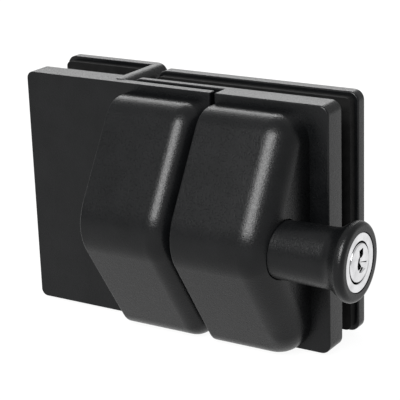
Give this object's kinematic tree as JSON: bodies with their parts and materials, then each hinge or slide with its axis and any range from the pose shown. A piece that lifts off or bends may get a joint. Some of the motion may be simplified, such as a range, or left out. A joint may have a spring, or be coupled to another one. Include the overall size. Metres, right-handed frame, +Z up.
{
  "type": "glass gate latch",
  "caption": "Self-engaging latch for a frameless glass gate: a strike half and a latch half with wedge covers, a spring bolt and a side pull knob with a key lock.",
  "frame": {"origin": "middle of the seam between the two halves, at half the height of the plates and in the middle of the gate's glass", "axes": "+X along the glass from the strike half to the latch half and its knob, +Y through the glass away from the covers, +Z up"},
  "size_m": [0.1494, 0.0659, 0.0913],
  "materials": {
    "black_powder_coat": "satin powder coat",
    "black_rubber": "matt",
    "black_nylon": "matt",
    "stainless_steel": "satin",
    "bright_chrome": "polished",
    "nickel_plating": "bright"
  },
  "bodies": {
    "brackets": {"strike_bracket": "black_powder_coat", "strike_front_gasket": "black_rubber", "strike_rear_gasket": "black_rubber", "strike_glass_bushes": "black_nylon", "strike_clamp_screws": "stainless_steel", "closing_buffer": "black_rubber", "strike_cover": "black_powder_coat", "strike_cover_screws": "stainless_steel", "latch_plate": "black_powder_coat", "latch_front_gasket": "black_rubber", "latch_rear_gasket": "black_rubber", "latch_glass_bushes": "black_nylon", "latch_clamp_screws": "stainless_steel", "latch_rear_plate": "black_powder_coat", "latch_cover": "black_powder_coat", "latch_cover_screws": "stainless_steel", "bolt_guide": "black_nylon", "knob_guide": "black_nylon", "spring_bracket": "stainless_steel", "spring_bracket_screws": "stainless_steel", "bolt_keeper": "black_nylon", "keeper_screws": "stainless_steel", "return_spring": "stainless_steel", "strike_magnet": "nickel_plating", "magnet_plug": "black_nylon"},
    "pull": {"pull_knob": "black_powder_coat", "pull_rod": "stainless_steel", "latch_bolt": "stainless_steel", "lock_body": "bright_chrome"},
    "key": {"lock_plug": "bright_chrome", "lock_cam": "stainless_steel", "cam_screw": "stainless_steel"}
  },
  "joints": [
    {"name": "knob_pull", "type": "slide", "parent": "brackets", "child": "pull", "axis": [1, 0, 0], "range_m": [0, 0.0084], "stiffness_N_per_m": 350, "springref_m": -0.02, "deforming": ["return_spring"]},
    {"name": "key_turn", "type": "hinge", "parent": "pull", "child": "key", "pos_m": [0.06, -0.0332, -0.0009], "axis": [1, 0, 0], "range_deg": [0, 90]}
  ]
}
